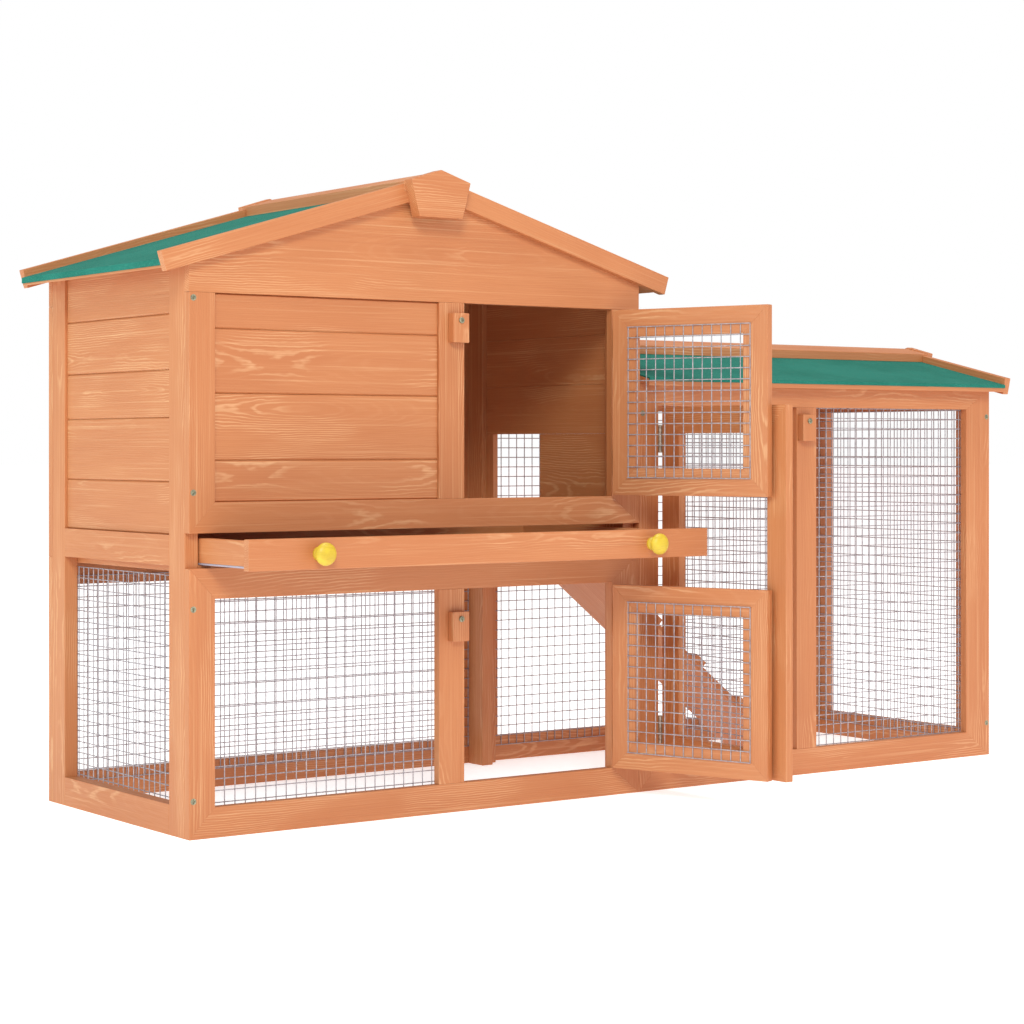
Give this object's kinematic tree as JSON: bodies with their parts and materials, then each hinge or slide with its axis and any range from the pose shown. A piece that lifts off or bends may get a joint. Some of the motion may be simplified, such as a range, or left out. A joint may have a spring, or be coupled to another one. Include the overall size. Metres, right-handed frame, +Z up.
{
  "type": "rabbit hutch",
  "caption": "Two-storey gabled wooden small-animal hutch with a lower wire-mesh run beside it, hinged mesh doors, a pull-out tray drawer, turn buttons and an inside ramp.",
  "frame": {"origin": "on the ground, in the middle of the outline of the hutch with its doors and drawer open as at rest", "axes": "+X from the two-storey house to the run, +Y from the front to the back, +Z up"},
  "size_m": [1.483, 0.6876, 0.8405],
  "materials": {
    "stained_fir": "orange-brown stained fir, brushed, matt",
    "roof_felt": "green mineral roofing felt, gritty",
    "mesh_wire": "galvanised welded wire, dull",
    "hinge_metal": "zinc-plated steel",
    "screw_metal": "zinc-plated steel",
    "knob": "yellow painted wood, satin",
    "tray_sheet": "galvanised sheet, dull"
  },
  "bodies": {
    "hutch": {"house_posts": "stained_fir", "left_wall_rails": "stained_fir", "left_wall_boards": "stained_fir", "left_wall_mesh": "mesh_wire", "right_wall_rail": "stained_fir", "right_wall_boards": "stained_fir", "upper_front_frame": "stained_fir", "front_gable": "stained_fir", "upper_front_boards": "stained_fir", "lower_front_frame": "stained_fir", "lower_front_mesh": "mesh_wire", "upper_back_frame": "stained_fir", "back_gable": "stained_fir", "upper_back_boards": "stained_fir", "lower_back_frame": "stained_fir", "lower_back_mesh": "mesh_wire", "drawer_runners": "stained_fir", "house_roof_boards": "stained_fir", "house_roof_felt": "roof_felt", "house_barge_boards": "stained_fir", "house_keystones": "stained_fir", "house_ridge_caps": "stained_fir", "run_front_frame": "stained_fir", "run_front_mesh": "mesh_wire", "run_back_frame": "stained_fir", "run_back_mesh": "mesh_wire", "run_posts": "stained_fir", "run_end_rail": "stained_fir", "run_end_gable": "stained_fir", "run_end_mesh": "mesh_wire", "run_roof_boards": "stained_fir", "run_roof_felt": "roof_felt", "run_barge_boards": "stained_fir", "run_keystone": "stained_fir", "run_ridge_caps": "stained_fir", "ramp_board": "stained_fir", "ramp_treads": "stained_fir", "jamb_hinge_leaves": "hinge_metal", "hinge_pins": "hinge_metal", "turn_button_screws": "screw_metal", "frame_screws": "screw_metal"},
    "upper_door": {"upper_door_frame": "stained_fir", "upper_door_mesh": "mesh_wire", "upper_door_hinge_leaves": "hinge_metal"},
    "lower_door": {"lower_door_frame": "stained_fir", "lower_door_mesh": "mesh_wire", "lower_door_hinge_leaves": "hinge_metal"},
    "run_door": {"run_door_frame": "stained_fir", "run_door_mesh": "mesh_wire", "run_door_hinge_leaves": "hinge_metal"},
    "drawer": {"drawer_front": "stained_fir", "drawer_sides": "stained_fir", "drawer_back": "stained_fir", "drawer_tray": "tray_sheet", "drawer_knobs": "knob", "drawer_knob_screws": "screw_metal"},
    "upper_button": {"upper_turn_button": "stained_fir"},
    "lower_button": {"lower_turn_button": "stained_fir"},
    "run_button": {"run_turn_button": "stained_fir"}
  },
  "joints": [
    {"name": "upper_door_hinge", "type": "hinge", "parent": "hutch", "child": "upper_door", "pos_m": [-0.039, -0.0858, 0.542], "axis": [0, 0, 1], "range_deg": [-109, 1]},
    {"name": "lower_door_hinge", "type": "hinge", "parent": "hutch", "child": "lower_door", "pos_m": [-0.039, -0.0858, 0.166], "axis": [0, 0, 1], "range_deg": [-109, 1]},
    {"name": "run_door_hinge", "type": "hinge", "parent": "hutch", "child": "run_door", "pos_m": [0.0415, -0.0858, 0.2885], "axis": [0, 0, 1], "range_deg": [0, 90]},
    {"name": "drawer_slide", "type": "slide", "parent": "hutch", "child": "drawer", "axis": [0, -1, 0], "range_m": [-0.147, 0.153]},
    {"name": "upper_button_turn", "type": "hinge", "parent": "hutch", "child": "upper_button", "pos_m": [-0.3025, -0.0895, 0.6475], "axis": [0, 1, 0], "continuous": true},
    {"name": "lower_button_turn", "type": "hinge", "parent": "hutch", "child": "lower_button", "pos_m": [-0.3025, -0.0895, 0.255], "axis": [0, 1, 0], "continuous": true},
    {"name": "run_button_turn", "type": "hinge", "parent": "hutch", "child": "run_button", "pos_m": [0.316, -0.0895, 0.519], "axis": [0, 1, 0], "continuous": true}
  ]
}
